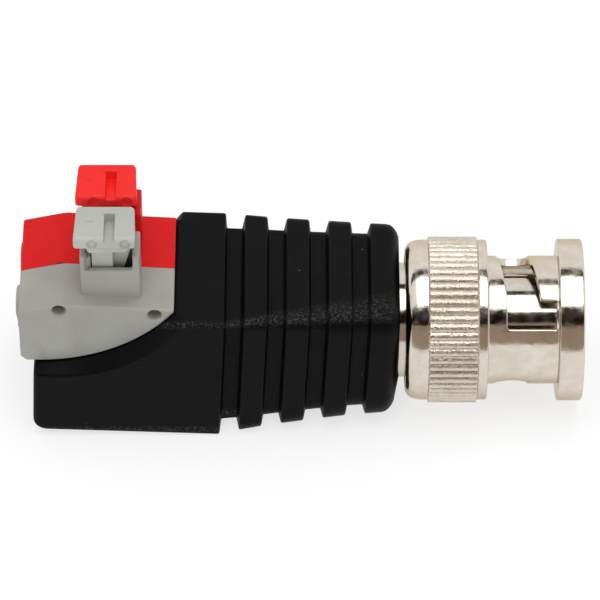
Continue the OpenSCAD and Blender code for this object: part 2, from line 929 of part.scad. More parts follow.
// A snap ring that is open at one side
module retaining_ring() {
    gap = 1.6;
    color("#b9b4a8")
        difference() {
            bar_x(chamber_d + 2 * ring_groove - 2 * fit_gap, ring_front + fit_gap, ring_rear - fit_gap);
            bar_x(tail_d + 0.4, ring_front - over, ring_rear + over);
            translate([-ring_rear - over, -gap / 2, 0])
                cube([ring_t + 2 * over, gap, nut_len]);
        }
}

// Cross-section of the straight knurl
module knurl_section() {
    r = knurl_d / 2;
    pitch = 360 / knurl_teeth;
    polygon([
        for (i = [0 : knurl_teeth - 1])
            for (p = [[0, knurl_depth], [0.22, knurl_depth], [0.45, 0], [0.77, 0]])
                let (a = (i + p[0]) * pitch)
                    (r - p[1]) * [cos(a), sin(a)]
    ]);
}

cam_steps = 24;
entry_r = neck_d / 2 + 0.05;
cam_in = nut_bore_d / 2 - 0.6;
cam_out = neck_d / 2 + 0.6;
entry_half = asin(entry_w / neck_d);
entry_rear = cam_start + cam_w / 2 + 0.06;

// Middle of the cam slot at an angle from its start
function cam_mid(a) = cam_start + cam_rise * max(0, min(1, a / cam_sweep));

// One cam slot: a swept slot with a round seat at its end, and the entry through the flange
module cam_slot() {
    rings = [
        for (i = [0 : cam_steps])
            let (
                a = mix(-entry_half / 2, cam_sweep, i / cam_steps),
                x0 = -(cam_mid(a) + cam_w / 2),
                x1 = -(cam_mid(a) - cam_w / 2)
            )
            [
                for (p = [[x0, cam_in], [x0, cam_out], [x1, cam_out], [x1, cam_in]])
                    [p[0], p[1] * cos(-a), p[1] * sin(-a)]
            ]
    ];
    rotate([cam_turn, 0, 0]) {
        loft(rings);
        rotate([-cam_sweep, 0, 0])
            for (s = [0, detent_step])
                translate([s - cam_mid(cam_sweep), cam_in, 0])
                    rotate([-90, 0, 0])
                        cylinder(d = cam_w + 0.06, h = cam_out - cam_in);
        intersection() {
            translate([-entry_rear, 0, -entry_w / 2])
                cube([entry_rear + over, nut_bore_d, entry_w]);
            bar_x(2 * entry_r, -over, entry_rear + over);
        }
    }
}

module coupling_nut() {
    flange_edge = 0.2;
    knurl_front = nut_len - rear_band_w - knurl_w;
    knurl_rear = nut_len - rear_band_w;
    band_front = knurl_front - front_band_w;
    rb = band_d / 2;
    rf = flange_d / 2;
    color("#d3c9b8")
        difference() {
            union() {
                turned([
                    [0, 0], [0, rf - flange_edge], [flange_edge, rf], [flange_w - 0.1, rf],
                    [flange_w, rf - 0.1], [flange_w, neck_d / 2], [band_front, neck_d / 2],
                    [band_front, rb - 0.15], [band_front + 0.15, rb], [knurl_front, rb],
                    [knurl_front, 0]
                ]);
                translate([-knurl_rear, 0, 0])
                    rotate([0, 90, 0])
                        linear_extrude(height = knurl_w)
                            knurl_section();
                turned(concat(
                    [[knurl_rear, 0], [knurl_rear, rb]],
                    [
                        for (k = [0 : 8])
                            let (t = sin(90 * k / 8))
                                [nut_len - nut_rear_round * (1 - t), rb - round_drop(nut_rear_round, t) * 0.6]
                    ],
                    [[nut_len, 0]]
                ));
            }
            bar_x(nut_bore_d, -over, nut_len);
            bar_x(chamber_d, shoulder_x, nut_len + over);
            bar_x(chamber_d + 2 * ring_groove, ring_front, ring_rear);
            for (s = [0, 180])
                rotate([s, 0, 0])
                    cam_slot();
        }
}

shell();
terminal_grey();
terminal_red();
end_plate();
button_grey();
button_red();
clamp_spring_grey();
clamp_spring_red();
contact_bar_grey();
contact_bar_red();
lead_centre();
lead_ground();
plug_body();
contact_sleeve();
insulator();
centre_pin();
gasket();
wave_washer();
thrust_washer();
retaining_ring();
coupling_nut();
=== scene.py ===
# Looks of the bayonet coaxial plug with its push-button spring terminal
import math

import bpy
import numpy as np
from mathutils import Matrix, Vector
from mathutils.geometry import delaunay_2d_cdt


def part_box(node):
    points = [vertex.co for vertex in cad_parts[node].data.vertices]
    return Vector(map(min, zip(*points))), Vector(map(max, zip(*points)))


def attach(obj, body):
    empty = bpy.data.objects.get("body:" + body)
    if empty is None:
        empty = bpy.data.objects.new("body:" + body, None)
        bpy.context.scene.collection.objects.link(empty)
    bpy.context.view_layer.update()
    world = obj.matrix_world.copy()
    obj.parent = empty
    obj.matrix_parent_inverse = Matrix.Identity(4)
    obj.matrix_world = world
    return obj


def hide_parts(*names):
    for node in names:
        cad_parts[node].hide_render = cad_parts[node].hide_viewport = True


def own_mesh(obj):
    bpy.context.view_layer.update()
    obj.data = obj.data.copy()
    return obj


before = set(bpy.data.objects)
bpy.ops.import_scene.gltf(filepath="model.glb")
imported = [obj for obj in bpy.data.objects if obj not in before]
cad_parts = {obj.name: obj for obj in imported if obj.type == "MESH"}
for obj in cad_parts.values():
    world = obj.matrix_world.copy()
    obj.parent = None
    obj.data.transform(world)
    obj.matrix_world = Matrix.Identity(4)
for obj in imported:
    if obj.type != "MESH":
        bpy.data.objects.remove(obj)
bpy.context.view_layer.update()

# Camera: a long lens that looks down on the part at 45 degrees, square to the plug's axis,
# so the box is seen along the diagonal of its section.
scene = bpy.context.scene
scene.view_settings.view_transform = "Standard"
MM = 0.001
SLOPE = math.sqrt(0.5)
TO_CAMERA = np.array([0, -SLOPE, SLOPE])
IMAGE_UP = np.array([0, SLOPE, SLOPE])
middle = np.array([-24.55, 0, 0]) + 1.706 * IMAGE_UP
lens = bpy.data.cameras.new("camera")
lens.lens = 274.3
camera = bpy.data.objects.new("camera", lens)
camera.location = Vector((middle + 400 * TO_CAMERA) * MM)
camera.rotation_euler = (math.radians(45), 0, 0)
scene.collection.objects.link(camera)
scene.camera = camera


# Floor, backdrop and lights: white paper under the part, one soft box overhead and dark flags
# beside the lens, which draw the dark bands that bright metal shows.
def linear(code):
    """The linear colour of an sRGB hex code, by the standard's two-piece curve."""
    values = [int(code[i : i + 2], 16) / 255 for i in (1, 3, 5)]
    return [v / 12.92 if v <= 0.04045 else ((v + 0.055) / 1.055) ** 2.4 for v in values] + [1.0]


def add(tree, kind, links=None, **settings):
    """Adds a node of a kind to a tree, sets its properties, and sets or links its inputs by name or number."""
    made = tree.nodes.new(kind)
    for name, value in settings.items():
        setattr(made, name, value)
    for socket, value in (links or {}).items():
        if isinstance(value, bpy.types.NodeSocket):
            tree.links.new(value, made.inputs[socket])
        else:
            made.inputs[socket].default_value = value
    return made


def seen_rays(tree):
    """One for rays of the camera, of a reflection or through something clear, and nought for others."""
    path = add(tree, "ShaderNodeLightPath")
    mirror = add(tree, "ShaderNodeMath", {0: path.outputs["Is Camera Ray"], 1: path.outputs["Is Glossy Ray"]},
                 operation="MAXIMUM")
    return add(tree, "ShaderNodeMath", {0: mirror.outputs[0], 1: path.outputs["Is Transmission Ray"]},
               operation="MAXIMUM").outputs[0]


AMBIENT = 0.6
world = bpy.data.worlds.new("studio")
scene.world = world
world.use_nodes = True
tree = world.node_tree
tree.nodes.clear()
room = add(tree, "ShaderNodeBackground", {"Color": linear("#FAFBFF"), "Strength": AMBIENT})
paper = add(tree, "ShaderNodeBackground", {"Color": (1, 1, 1, 1), "Strength": 1.0})
both = add(tree, "ShaderNodeMixShader", {0: seen_rays(tree), 1: room.outputs[0], 2: paper.outputs[0]})
add(tree, "ShaderNodeOutputWorld", {"Surface": both.outputs[0]})

floor_height = min(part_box(name)[0].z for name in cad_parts)
half = 2.0
floor_mesh = bpy.data.meshes.new("floor")
floor_mesh.from_pydata(
    [(x, y, floor_height) for x, y in ((-half, -half), (half, -half), (half, half), (-half, half))],
    [], [(0, 1, 2, 3)])
floor = bpy.data.objects.new("floor", floor_mesh)
scene.collection.objects.link(floor)
white_paper = bpy.data.materials.new("white_paper")
white_paper.use_nodes = True
tree = white_paper.node_tree
tree.nodes.clear()
matt = add(tree, "ShaderNodeBsdfDiffuse", {"Color": linear("#F2F2F2")})
glow = add(tree, "ShaderNodeEmission", {"Color": (1, 1, 1, 1), "Strength": 1.12})
share = add(tree, "ShaderNodeMath", {0: seen_rays(tree), 1: 0.62}, operation="MULTIPLY")
both = add(tree, "ShaderNodeMixShader", {0: share.outputs[0], 1: matt.outputs[0], 2: glow.outputs[0]})
add(tree, "ShaderNodeOutputMaterial", {"Surface": both.outputs[0]})
floor_mesh.materials.append(white_paper)


def around(degrees):
    """The direction at an angle from the camera's side, turned about the plug's axis towards the image's top."""
    angle = math.radians(degrees)
    return math.cos(angle) * TO_CAMERA + math.sin(angle) * IMAGE_UP


soft_box = bpy.data.lights.new("soft_box", "AREA")
soft_box.shape = "RECTANGLE"
soft_box.size = 0.5
soft_box.size_y = 0.40
soft_box.energy = 1.25
soft_box.color = linear("#FFFDFA")[:3]
lamp = bpy.data.objects.new("soft_box", soft_box)
place = middle * MM + 0.5 * around(40)
lamp.location = Vector(place)
lamp.rotation_euler = Vector(place - middle * MM).to_track_quat("Z", "X").to_euler()
scene.collection.objects.link(lamp)

front_fill = bpy.data.lights.new("front_fill", "AREA")
front_fill.size = 0.4
front_fill.energy = 0.55
fill = bpy.data.objects.new("front_fill", front_fill)
place = middle * MM + 0.6 * around(-28)
fill.location = Vector(place)
fill.rotation_euler = Vector(place - middle * MM).to_track_quat("Z", "X").to_euler()
fill.visible_glossy = False
scene.collection.objects.link(fill)

FLAG_REACH = 0.35
for name, low, high, colour in (
    ("flag_lens", -9, 19, "#1A100E"),
    ("flag_low", -45, -9, "#A39284"),
    ("flag_high", 63, 77, "#2A211C"),
):
    angles = np.linspace(low, high, 12)
    strip = np.array([around(a) for a in angles]) * FLAG_REACH + middle * MM
    points = np.concatenate([strip + [-0.4, 0, 0], strip + [0.4, 0, 0]])
    n = len(angles)
    mesh = bpy.data.meshes.new(name)
    mesh.from_pydata(points.tolist(), [], [(i, i + 1, n + i + 1, n + i) for i in range(n - 1)])
    flag = bpy.data.objects.new(name, mesh)
    scene.collection.objects.link(flag)
    cloth = bpy.data.materials.new(name)
    cloth.use_nodes = True
    tree = cloth.node_tree
    tree.nodes.clear()
    plain = add(tree, "ShaderNodeEmission", {"Color": linear(colour), "Strength": 1.0})
    add(tree, "ShaderNodeOutputMaterial", {"Surface": plain.outputs[0]})
    mesh.materials.append(cloth)
    for ray in ("camera", "diffuse", "transmission", "shadow", "volume_scatter"):
        setattr(flag, "visible_" + ray, False)


# Plug body and contact sleeve: turned brass, the body with a collar, a tail and an anchor that the shell
# is moulded over, the sleeve pressed into it and slotted so that it springs. Both are nickel plated.
def rounded(corners, radii, steps):
    """Closed outlines whose corners are arcs: each is a parabola that leaves the sides at the radius times the
    tangent of half the turn from the corner, but at no more than 0.45 of a side."""
    back = np.roll(corners, 1, axis=-2) - corners
    ahead = np.roll(corners, -1, axis=-2) - corners
    back_len = np.linalg.norm(back, axis=-1)
    ahead_len = np.linalg.norm(ahead, axis=-1)
    cosine = np.clip((back * ahead).sum(-1) / (back_len * ahead_len), -1, 1 - 1e-9)
    cut = radii * np.sqrt((1 + cosine) / (1 - cosine))
    cut = np.clip(cut, 0.02, 0.45 * np.minimum(back_len, ahead_len))
    a = corners + back * (cut / back_len)[..., None]
    b = corners + ahead * (cut / ahead_len)[..., None]
    t = np.linspace(0, 1, steps + 1)[:, None]
    arcs = (1 - t) ** 2 * a[..., None, :] + 2 * t * (1 - t) * corners[..., None, :] + t**2 * b[..., None, :]
    return arcs.reshape(*corners.shape[:-2], -1, 2)


def drawn_in(loop, depth):
    """A closed outline moved inwards by a depth along the mitred normals of its points."""
    side = np.roll(loop, -1, axis=0) - loop
    side = side / np.linalg.norm(side, axis=1)[:, None]
    normal = np.stack([side[:, 1], -side[:, 0]], axis=1)
    last = np.roll(normal, 1, axis=0)
    area = (loop[:, 0] * np.roll(loop[:, 1], -1) - loop[:, 1] * np.roll(loop[:, 0], -1)).sum()
    mitre = (normal + last) / (1 + (normal * last).sum(1))[:, None]
    return loop - depth * mitre * np.sign(area)


def filled(flat):
    """Triangles that fill a closed outline, by a constrained Delaunay division, in the outline's own direction."""
    faces = np.array(delaunay_2d_cdt([Vector(p) for p in flat], [], [list(range(len(flat)))], 1, 1e-6)[2])
    if faces.max() >= len(flat):
        print("CROSSED", len(flat), faces.max(), flat.min(0), flat.max(0))
        faces = faces[(faces < len(flat)).all(axis=1)]
    area = (flat[:, 0] * np.roll(flat[:, 1], -1) - flat[:, 1] * np.roll(flat[:, 0], -1)).sum()
    return faces if area > 0 else faces[:, ::-1]


def skin(name, rings, closed=False, flat=None):
    """A closed mesh through rings of equally many points, with a cap on each end unless the last ring joins the
    first. A cap is divided in the plane of its two widest axes, or in the flat outline that is given. Where the
    signed volume is below nought the faces are turned round."""
    m, n = rings.shape[:2]
    points = rings.reshape(-1, 3) * MM
    i, j = np.meshgrid(np.arange(m if closed else m - 1), np.arange(n), indexing="ij")
    k, l = (i + 1) % m, (j + 1) % n
    quads = np.stack([i * n + j, i * n + l, k * n + l, k * n + j], axis=-1).reshape(-1, 4)
    caps = np.zeros((0, 3), int)
    if not closed:
        ends = [np.delete(ring, np.argmin(np.ptp(ring, axis=0)), axis=1) if flat is None else flat
                for ring in (rings[0], rings[-1])]
        caps = np.concatenate([filled(ends[0])[:, ::-1], filled(ends[1]) + (m - 1) * n])
    fans = np.concatenate([quads[:, [0, 1, 2]], quads[:, [0, 2, 3]], caps])
    volume = (np.cross(points[fans[:, 1]], points[fans[:, 2]]) * points[fans[:, 0]]).sum()
    faces = quads.tolist() + caps.tolist()
    if volume < 0:
        faces = [face[::-1] for face in faces]
    mesh = bpy.data.meshes.new(name)
    mesh.from_pydata(points.tolist(), [], faces)
    piece = bpy.data.objects.new(name, mesh)
    scene.collection.objects.link(piece)
    return piece


def spun(name, profile, sides):
    """A ring solid turned about the plug's axis from a closed profile of (distance behind the front, radius)."""
    turn = np.linspace(0, 2 * np.pi, sides, endpoint=False)[:, None]
    d, r = profile[:, 0], profile[:, 1]
    return skin(name, np.stack([-d + 0 * turn, r * np.cos(turn), r * np.sin(turn)], axis=-1), closed=True)


def rod(name, stations, sides):
    """A solid rod on the plug's axis through stations of (distance behind the front, radius)."""
    turn = np.linspace(0, 2 * np.pi, sides, endpoint=False)
    d, r = stations[:, 0:1], stations[:, 1:2]
    return skin(name, np.stack([-d + 0 * turn, r * np.cos(turn), r * np.sin(turn)], axis=-1))


def prism(name, corners, low, high, soft, axis, radii=0.0, steps=4):
    """An outline with rounded corners, carried along an axis from low to high. The rims are quarter rounds of the
    soft sizes, drawn in by soft times one less the sine. A corner's radius shrinks by the depth that the outline
    is drawn in, and it grows by that depth in a hollow corner."""
    corners = np.array(corners, float)
    ahead, back = np.roll(corners, -1, axis=0) - corners, corners - np.roll(corners, 1, axis=0)
    area = (corners[:, 0] * ahead[:, 1] - corners[:, 1] * ahead[:, 0]).sum()
    bulge = np.sign(area) * np.sign(back[:, 0] * ahead[:, 1] - back[:, 1] * ahead[:, 0])
    turns = [np.linspace(0, np.pi / 2, 4) if size else np.array([np.pi / 2]) for size in soft]
    start = [(low + soft[0] * (1 - math.cos(a)), soft[0] * (1 - math.sin(a))) for a in turns[0]]
    end = [(high - soft[1] * (1 - math.cos(a)), soft[1] * (1 - math.sin(a))) for a in turns[1][::-1]]
    rings = []
    for along, depth in start + end:
        flat = rounded(drawn_in(corners, depth), np.maximum(radii - depth * bulge, 0.02), steps)
        rings.append(np.insert(flat, axis, along, axis=1))
    return skin(name, np.array(rings))


def joined(piece, operation, tools):
    """The piece after exact unions, cuts or crossings with its tools, which are then taken away."""
    for tool in tools:
        step = piece.modifiers.new(operation, "BOOLEAN")
        step.operation = operation
        step.solver = "MANIFOLD"
        step.object = tool
    bpy.context.view_layer.update()
    done = bpy.data.meshes.new_from_object(piece.evaluated_get(bpy.context.evaluated_depsgraph_get()))
    piece.modifiers.clear()
    piece.data = done
    for tool in tools:
        bpy.data.objects.remove(tool)
    return piece


def dress(piece, material, body, nodes, sharp=38):
    """Smooth shading up to an angle between faces, the material, and the piece's place in the frame."""
    piece.data.materials.clear()
    piece.data.materials.append(material)
    piece.data.shade_smooth()
    piece.data.set_sharp_from_angle(angle=math.radians(sharp))
    even = piece.modifiers.new("even_normals", "WEIGHTED_NORMAL")
    even.keep_sharp = True
    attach(piece, body)
    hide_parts(*nodes)


def principled(name, **sockets):
    """A material of one principled shader, and its tree, with the shader's uniform values set on its sockets."""
    made = bpy.data.materials.new(name)
    made.use_nodes = True
    made.node_tree.nodes.clear()
    words = {key.replace("_", " "): value for key, value in sockets.items()}
    shader = add(made.node_tree, "ShaderNodeBsdfPrincipled", words)
    add(made.node_tree, "ShaderNodeOutputMaterial", {"Surface": shader.outputs[0]})
    return made, made.node_tree, shader


def nickel(name, tones, limb, ripple_mm, ripple, pit_mm, rough):
    """Nickel electroplate on turned brass: bright and a little warm, with cloudy tones, a plating ripple under the
    gloss and a few dark pits."""
    made, tree, shader = principled(name, Metallic=1.0, Specular_Tint=linear(limb))
    at = add(tree, "ShaderNodeTexCoord").outputs["Object"]
    cloud = add(tree, "ShaderNodeTexNoise", {"Vector": at, "Scale": 1 / (1.8 * MM), "Detail": 4.0, "Roughness": 0.6})
    share = add(tree, "ShaderNodeMapRange", {"Value": cloud.outputs["Fac"], "From Min": 0.35, "From Max": 0.65})
    tint = add(tree, "ShaderNodeMix", {"Factor": share.outputs[0], "A": linear(tones[0]), "B": linear(tones[1])},
               data_type="RGBA")
    cells = add(tree, "ShaderNodeTexVoronoi", {"Vector": at, "Scale": 1 / (2.2 * MM)})
    pit = add(tree, "ShaderNodeMapRange",
              {"Value": cells.outputs["Distance"], "From Min": 0.35 * pit_mm / 2.2, "From Max": 0.6 * pit_mm / 2.2})
    dark = add(tree, "ShaderNodeMix", {"Factor": pit.outputs[0], "A": linear("#3A2F2A"),
                                       "B": tint.outputs["Result"]}, data_type="RGBA")
    tree.links.new(dark.outputs["Result"], shader.inputs["Base Color"])
    smear = add(tree, "ShaderNodeTexNoise", {"Vector": at, "Scale": 1 / (0.7 * MM), "Detail": 3.0})
    haze = add(tree, "ShaderNodeMapRange",
               {"Value": smear.outputs["Fac"], "From Min": 0.3, "From Max": 0.7, "To Min": rough[0],
                "To Max": rough[1]})
    tree.links.new(haze.outputs[0], shader.inputs["Roughness"])
    wave = add(tree, "ShaderNodeTexNoise", {"Vector": at, "Scale": 1 / (ripple_mm * MM), "Detail": 3.0})
    swell = add(tree, "ShaderNodeBump", {"Height": wave.outputs["Fac"], "Strength": ripple, "Distance": 0.02 * MM})
    tree.links.new(swell.outputs[0], shader.inputs["Normal"])
    return made


collar_front, collar_rear, tail_rear, anchor_rear = 9.45, 12.45, 17.2, 23.4
body_profile = np.array([
    (8.6, 4.22), (8.6, 4.75), (collar_front, 4.75), (collar_front, 5.9), (collar_rear, 5.9), (collar_rear, 5.0),
    (tail_rear, 5.0), (tail_rear, 3.7), (18.8, 3.7), (18.8, 3.25), (21.8, 3.25), (21.8, 3.7), (anchor_rear, 3.7),
    (anchor_rear, 1.55), (16.7, 1.55), (16.7, 3.3), (11.45, 3.3), (11.45, 4.22)])
core_nickel = nickel("bright_nickel_on_turned_brass", ("#C9C1B5", "#D9D2C7"), "#E4DDD2", 0.5, 0.3, 0.02, (0.08, 0.2))
plug_body = spun("plug_body_turned", rounded(body_profile, 0.08, 3), 128)
dress(plug_body, core_nickel, "housing", ["plug_body"])

sleeve_profile = np.array([
    (2.0, 3.55), (2.0, 3.75), (2.25, 4.0), (7.3, 4.0), (7.3, 4.2), (11.45, 4.2), (11.45, 3.3), (2.25, 3.3)])
sleeve = spun("contact_sleeve_slotted", rounded(sleeve_profile, 0.1, 3), 192)
slots = []
for turn in (67, 157, 247, 337):
    slit = prism("slit", [(-6.9, -0.25), (0.5, -0.25), (0.5, 0.25), (-6.9, 0.25)], 2.5, 5, (0, 0), 2, 0.2)
    angle = math.radians(turn - 90)
    points = np.array([v.co for v in slit.data.vertices])
    y, z = points[:, 1].copy(), points[:, 2].copy()
    points[:, 1] = y * math.cos(angle) - z * math.sin(angle)
    points[:, 2] = y * math.sin(angle) + z * math.cos(angle)
    slit.data.vertices.foreach_set("co", points.ravel())
    slots.append(slit)
dress(joined(sleeve, "DIFFERENCE", slots), core_nickel, "housing", ["contact_sleeve"])


# Insulator, centre pin and gasket: a milky fluoropolymer tube in the sleeve, a turned and gold-flashed brass pin
# through its floor, and a silicone ring that seals the socket's rim.
insulator_profile = np.array([
    (2.9, 2.45), (2.9, 3.28), (16.7, 3.28), (16.7, 0.97), (11.9, 0.97), (11.9, 0.9), (8.9, 0.9), (8.9, 2.45)])
milky, tree, shader = principled("fluoropolymer_moulded", Roughness=0.42, IOR=1.38, Subsurface_Weight=0.3,
                                 Subsurface_Scale=0.001)
at = add(tree, "ShaderNodeTexCoord").outputs["Object"]
wisps = add(tree, "ShaderNodeTexNoise", {"Vector": at, "Scale": 1 / (1.2 * MM), "Detail": 2.0})
tint = add(tree, "ShaderNodeMix", {"Factor": wisps.outputs["Fac"], "A": linear("#E2DFD4"), "B": linear("#EFEDE4")},
           data_type="RGBA")
tree.links.new(tint.outputs["Result"], shader.inputs["Base Color"])
marks = add(tree, "ShaderNodeTexNoise", {"Vector": at, "Scale": 1 / (0.2 * MM)})
swell = add(tree, "ShaderNodeBump", {"Height": marks.outputs["Fac"], "Strength": 0.2, "Distance": 0.02 * MM})
tree.links.new(swell.outputs[0], shader.inputs["Normal"])
insulator = spun("insulator_cup", rounded(insulator_profile, 0.12, 3), 96)
dress(insulator, milky, "housing", ["insulator"])

dome = np.linspace(0, np.pi / 2, 9)
pin_stations = np.concatenate([
    np.stack([2.9 - 0.5 * np.cos(dome), 0.236 + 0.439 * np.sin(dome)], axis=1),
    [(8.9, 0.675), (8.93, 0.875), (11.87, 0.875), (11.9, 0.9), (12.0, 0.95), (18.3, 0.95), (18.4, 0.85), (18.4, 0.55),
     (16.6, 0.55)]])
gold, tree, shader = principled("gold_flash_on_turned_brass", Metallic=1.0, Specular_Tint=linear("#F2D9A0"))
at = add(tree, "ShaderNodeTexCoord").outputs["Object"]
wisps = add(tree, "ShaderNodeTexNoise", {"Vector": at, "Scale": 1 / (0.9 * MM), "Detail": 3.0})
tint = add(tree, "ShaderNodeMix", {"Factor": wisps.outputs["Fac"], "A": linear("#C79A45"), "B": linear("#DDB463")},
           data_type="RGBA")
tree.links.new(tint.outputs["Result"], shader.inputs["Base Color"])
haze = add(tree, "ShaderNodeMapRange", {"Value": wisps.outputs["Fac"], "To Min": 0.14, "To Max": 0.32})
tree.links.new(haze.outputs[0], shader.inputs["Roughness"])
dress(rod("centre_pin_turned", pin_stations, 64), gold, "housing", ["centre_pin"])

gasket_profile = np.array([(7.4, 4.25), (7.4, 4.74), (8.6, 4.74), (8.6, 4.25)])
silicone, tree, shader = principled("silicone_rubber_moulded", Roughness=0.55, IOR=1.41)
at = add(tree, "ShaderNodeTexCoord").outputs["Object"]
bloom = add(tree, "ShaderNodeTexNoise", {"Vector": at, "Scale": 1 / (0.8 * MM), "Detail": 3.0})
tint = add(tree, "ShaderNodeMix", {"Factor": bloom.outputs["Fac"], "A": linear("#9C3022"), "B": linear("#B84434")},
           data_type="RGBA")
tree.links.new(tint.outputs["Result"], shader.inputs["Base Color"])
dress(spun("gasket_ring", rounded(gasket_profile, 0.2, 4), 96), silicone, "housing", ["gasket"])


# Wave washer, thrust washer and snap ring: blanked from spring strip, the first rolled into three waves. They sit
# in the nut's chamber, where they hold the nut on the collar and pull it back.
steel, tree, shader = principled("spring_steel_strip", Metallic=1.0, Specular_Tint=linear("#C9CCD0"))
at = add(tree, "ShaderNodeTexCoord").outputs["Object"]
stretch = add(tree, "ShaderNodeMapping", {"Vector": at, "Scale": (1.0, 6.0, 6.0)})
rolled = add(tree, "ShaderNodeTexNoise", {"Vector": stretch.outputs[0], "Scale": 1 / (1.2 * MM), "Detail": 3.0})
tint = add(tree, "ShaderNodeMix", {"Factor": rolled.outputs["Fac"], "A": linear("#8F8E8B"), "B": linear("#B3B1AC")},
           data_type="RGBA")
tree.links.new(tint.outputs["Result"], shader.inputs["Base Color"])
haze = add(tree, "ShaderNodeMapRange", {"Value": rolled.outputs["Fac"], "To Min": 0.18, "To Max": 0.4})
tree.links.new(haze.outputs[0], shader.inputs["Roughness"])

turn = np.linspace(0, 2 * np.pi, 144, endpoint=False)[:, None]
strip = rounded(np.array([(0, 5.12), (0, 5.85), (0.25, 5.85), (0.25, 5.12)]), 0.06, 3)
wave = (1.01 - 0.25) / 2 * (1 + np.cos(3 * turn))
d = 12.47 + wave + strip[:, 0]
wave_rings = np.stack([-d, strip[:, 1] * np.cos(turn), strip[:, 1] * np.sin(turn)], axis=-1)
wave_washer = skin("wave_washer_rolled", wave_rings, closed=True)
dress(wave_washer, steel, "housing", ["wave_washer"])
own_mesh(wave_washer)

thrust_profile = np.array([(13.5, 5.05), (13.5, 5.9), (13.9, 5.9), (13.9, 5.05)])
thrust = spun("thrust_washer_blanked", rounded(thrust_profile, 0.06, 3), 96)
dress(thrust, core_nickel, "washer", ["thrust_washer"])

ring_profile = np.array([(13.97, 5.2), (13.97, 6.38), (14.63, 6.38), (14.63, 5.2)])
snap_ring = spun("snap_ring", rounded(ring_profile, 0.08, 3), 96)
opening = prism("opening", [(-16.0, -0.8), (-13.0, -0.8), (-13.0, 0.8), (-16.0, 0.8)], 4, 8, (0, 0), 2)
dress(joined(snap_ring, "DIFFERENCE", [opening]), steel, "nut", ["retaining_ring"])


# Coupling nut: one turned piece with a straight knurl, a neck with two cam slots and a flange with the entries of
# the socket's lugs. It is barrel plated in nickel, so its edges are soft and its faces a little uneven.
NECK_R, BORE_R, TEETH = 5.6, 4.95, 60
KNURL = (9.1, 13.45)
nut_corners = np.array([
    (0, 5.15), (0, 7.075), (2.15, 7.075), (2.15, NECK_R), (8.3, NECK_R), (8.3, 7.0), (9.1, 7.0), (9.2, 7.25),
    (13.35, 7.25), (13.45, 7.0), (14.3, 7.0), (15.1, 6.75), (15.4, 6.2), (15.4, 5.95), (14.65, 5.95), (14.65, 6.4), (13.95, 6.4), (13.95, 5.95),
    (9.4, 5.95), (9.4, BORE_R), (0.2, BORE_R)])
nut_radii = np.array([0.1, 0.22, 0.12, 0.12, 0.18, 0.15, 0, 0.05, 0.05, 0, 3.0, 1.2, 0.4, 0.1, 0, 0, 0, 0, 0.1, 0.1, 0.1])
nut_loop = rounded(nut_corners, nut_radii, 4)
turn = np.linspace(0, 2 * np.pi, 12 * TEETH, endpoint=False)[:, None]
d, r = nut_loop[:, 0], nut_loop[:, 1]
on_knurl = np.clip((d - 9.1) / 0.1, 0, 1) * np.clip((13.45 - d) / 0.1, 0, 1) * (r > 6.9)
tooth = 0.16 * (1 - np.abs(np.sin(TEETH / 2 * turn)) ** 0.8)
r = r - on_knurl * tooth
nut = skin("coupling_nut_turned", np.stack([-d + 0 * turn, r * np.cos(turn), r * np.sin(turn)], axis=-1), closed=True)


def wrapped(outline, centre, radius, outer):
    """A cutter that follows the nut's wall: an outline in millimetres along the circle and along the axis, carried
    outwards from inside the bore, and flared by a quarter round of 0.12 where it leaves the wall at a radius."""
    soft = 0.12
    inner = np.linspace(radius - soft, radius, 5)
    levels = [(BORE_R - 0.7, 0.0)] + [
        (level, soft - math.sqrt(max(0, soft**2 - (level - radius + soft) ** 2))) for level in inner
    ] + [(outer, soft + 0.01)]
    rings = []
    for level, flare in levels:
        wide = drawn_in(outline, -flare)
        angle = math.radians(centre) - wide[:, 0] / NECK_R
        rings.append(np.stack([-wide[:, 1], level * np.cos(angle), level * np.sin(angle)], axis=1))
    return skin("cutter", np.array(rings), flat=outline)


def divided(loop, step):
    """A closed outline with points added, evenly on each side, so that no side is longer than a step."""
    side = np.roll(loop, -1, axis=0) - loop
    count = np.maximum(1, np.ceil(np.linalg.norm(side, axis=1) / step).astype(int))
    start = np.repeat(np.arange(len(loop)), count)
    share = np.concatenate([np.arange(c) / c for c in count])[:, None]
    return loop[start] + share * side[start]


first_arc = np.radians(np.linspace(-122.5, 0, 14))
last_arc = np.radians(np.linspace(0, 90, 10))
seat = np.concatenate([
    np.stack([8.8 + 1.36 * np.cos(first_arc), 5.9 + 1.36 * np.sin(first_arc)], axis=1),
    np.stack([8.8 + 1.36 * np.cos(last_arc), 6.2 + 1.36 * np.sin(last_arc)], axis=1)])
cam = np.concatenate([[(-1.275, 2.4), (1.275, 2.4), (1.275, 3.716)], seat, [(1.7, 6.62), (-1.275, 6.64)]])
cam_radii = np.concatenate([[0.05, 0.05, 0.35, 0.35], np.full(len(seat) - 1, 1.36), [2.0, 0.3]])
cam_outline = divided(rounded(cam, cam_radii, 3), 0.3)
entry = np.array([(-1.275, -0.5), (1.275, -0.5), (1.275, 2.9), (-1.275, 2.9)])
cutters = []
for centre in (131, 311):
    cutters.append(wrapped(cam_outline, centre, NECK_R, 6.3))
    turn = math.radians(centre)
    levels = np.array([4.2, 5.64])[:, None]
    edge = divided(entry, 0.3)
    angle = turn - edge[:, 0] / NECK_R
    cutters.append(skin("entry", np.stack(
        [-edge[:, 1] + 0 * levels, levels * np.cos(angle), levels * np.sin(angle)], axis=-1), flat=edge))
nut_nickel = nickel("barrel_nickel_on_turned_nut", ("#D1C8B9", "#DED6C9"), "#DDD4C7", 0.45, 0.45, 0.1, (0.08, 0.24))
tree = nut_nickel.node_tree
shader = next(n for n in tree.nodes if n.type == "BSDF_PRINCIPLED")
